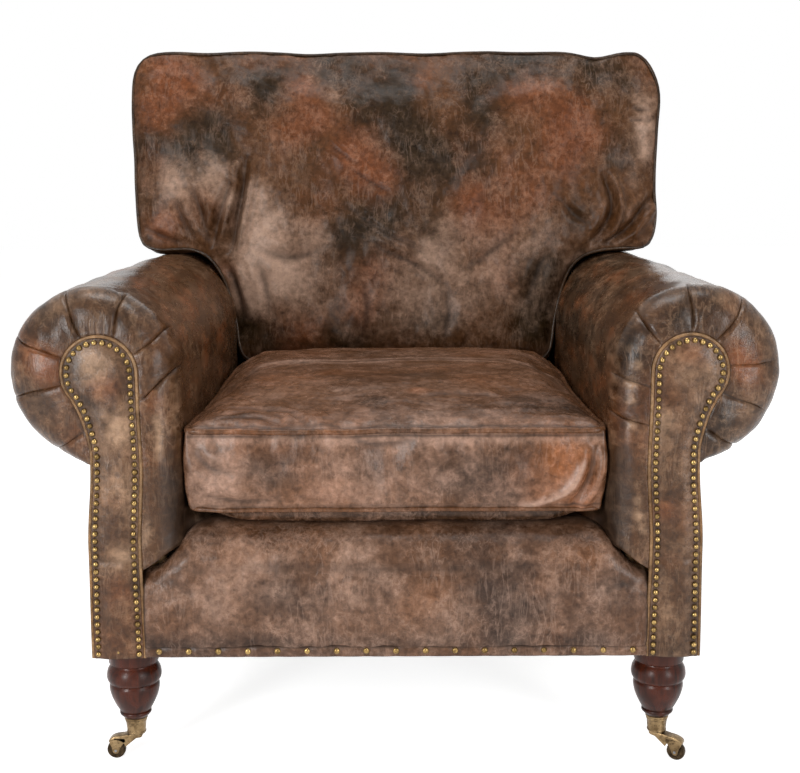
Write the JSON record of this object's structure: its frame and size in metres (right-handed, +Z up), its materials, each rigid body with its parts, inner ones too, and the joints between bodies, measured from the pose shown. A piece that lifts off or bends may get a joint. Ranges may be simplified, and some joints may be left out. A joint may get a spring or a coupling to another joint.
{
  "type": "club chair",
  "caption": "Worn brown leather club chair with scroll arms, loose T-shaped back cushion, boxed seat cushion, nail-trimmed arm fronts, turned front legs and small brass castors.",
  "frame": {"origin": "on the floor, in the middle of the chair's footprint", "axes": "+Z up, the chair faces -Y, +X is to the right as seen from the front"},
  "size_m": [0.9818, 0.954, 0.985],
  "materials": {
    "body_leather": "distressed, mottled dark brown and rust, soft sheen",
    "seat_leather": "distressed, paler and rubbed",
    "back_leather": "distressed, smoky with rust patches",
    "piping_leather": "dark welt",
    "nail_brass": "antique, domed",
    "castor_brass": "antique, dulled",
    "mahogany": "dark red stain, satin lacquer",
    "frame_hardwood": "sawn",
    "padding": "cotton felt",
    "dust_cloth": "black lining cloth",
    "steel": "plain"
  },
  "bodies": {
    "chair": {"back_cushion": "back_leather", "back_rail": "frame_hardwood", "dust_cover": "dust_cloth", "front_border": "body_leather", "front_rail": "frame_hardwood", "inside_back": "body_leather", "left_arm_cover": "body_leather", "left_arm_facing": "body_leather", "left_arm_padding": "padding", "left_arm_rear_panel": "body_leather", "left_arm_stump": "frame_hardwood", "left_arm_top_rail": "frame_hardwood", "left_back_post": "frame_hardwood", "left_castor_cup": "castor_brass", "left_front_block": "frame_hardwood", "left_front_bolt": "steel", "left_front_leg": "mahogany", "left_outside_arm": "body_leather", "left_rear_block": "frame_hardwood", "left_rear_bolt": "steel", "left_rear_leg": "mahogany", "left_side_rail": "frame_hardwood", "lower_back_rail": "frame_hardwood", "outside_back": "body_leather", "right_arm_cover": "body_leather", "right_arm_facing": "body_leather", "right_arm_padding": "padding", "right_arm_rear_panel": "body_leather", "right_arm_stump": "frame_hardwood", "right_arm_top_rail": "frame_hardwood", "right_back_post": "frame_hardwood", "right_castor_cup": "castor_brass", "right_front_block": "frame_hardwood", "right_front_bolt": "steel", "right_front_leg": "mahogany", "right_outside_arm": "body_leather", "right_rear_block": "frame_hardwood", "right_rear_bolt": "steel", "right_rear_leg": "mahogany", "right_side_rail": "frame_hardwood", "seat_cushion": "seat_leather", "seat_deck": "padding", "seat_spring_1": "steel", "seat_spring_2": "steel", "seat_spring_3": "steel", "seat_spring_4": "steel", "top_back_rail": "frame_hardwood"},
    "left_castor_swivel": {"left_castor_axle": "steel", "left_castor_horn": "castor_brass"},
    "left_castor_wheel": {"left_castor_wheel": "castor_brass"},
    "right_castor_swivel": {"right_castor_axle": "steel", "right_castor_horn": "castor_brass"},
    "right_castor_wheel": {"right_castor_wheel": "castor_brass"}
  },
  "joints": [
    {"name": "left_castor_turn", "type": "hinge", "parent": "chair", "child": "left_castor_swivel", "pos_m": [-0.353, -0.418, 0.036], "axis": [0, 0, 1], "continuous": true},
    {"name": "left_wheel_roll", "type": "hinge", "parent": "left_castor_swivel", "child": "left_castor_wheel", "pos_m": [-0.381, -0.418, 0.0125], "axis": [0, -1, 0], "continuous": true},
    {"name": "right_castor_turn", "type": "hinge", "parent": "chair", "child": "right_castor_swivel", "pos_m": [0.353, -0.418, 0.036], "axis": [0, 0, 1], "continuous": true},
    {"name": "right_wheel_roll", "type": "hinge", "parent": "right_castor_swivel", "child": "right_castor_wheel", "pos_m": [0.37772, -0.43115, 0.0125], "axis": [0.4695, 0.8829, 0], "continuous": true}
  ]
}
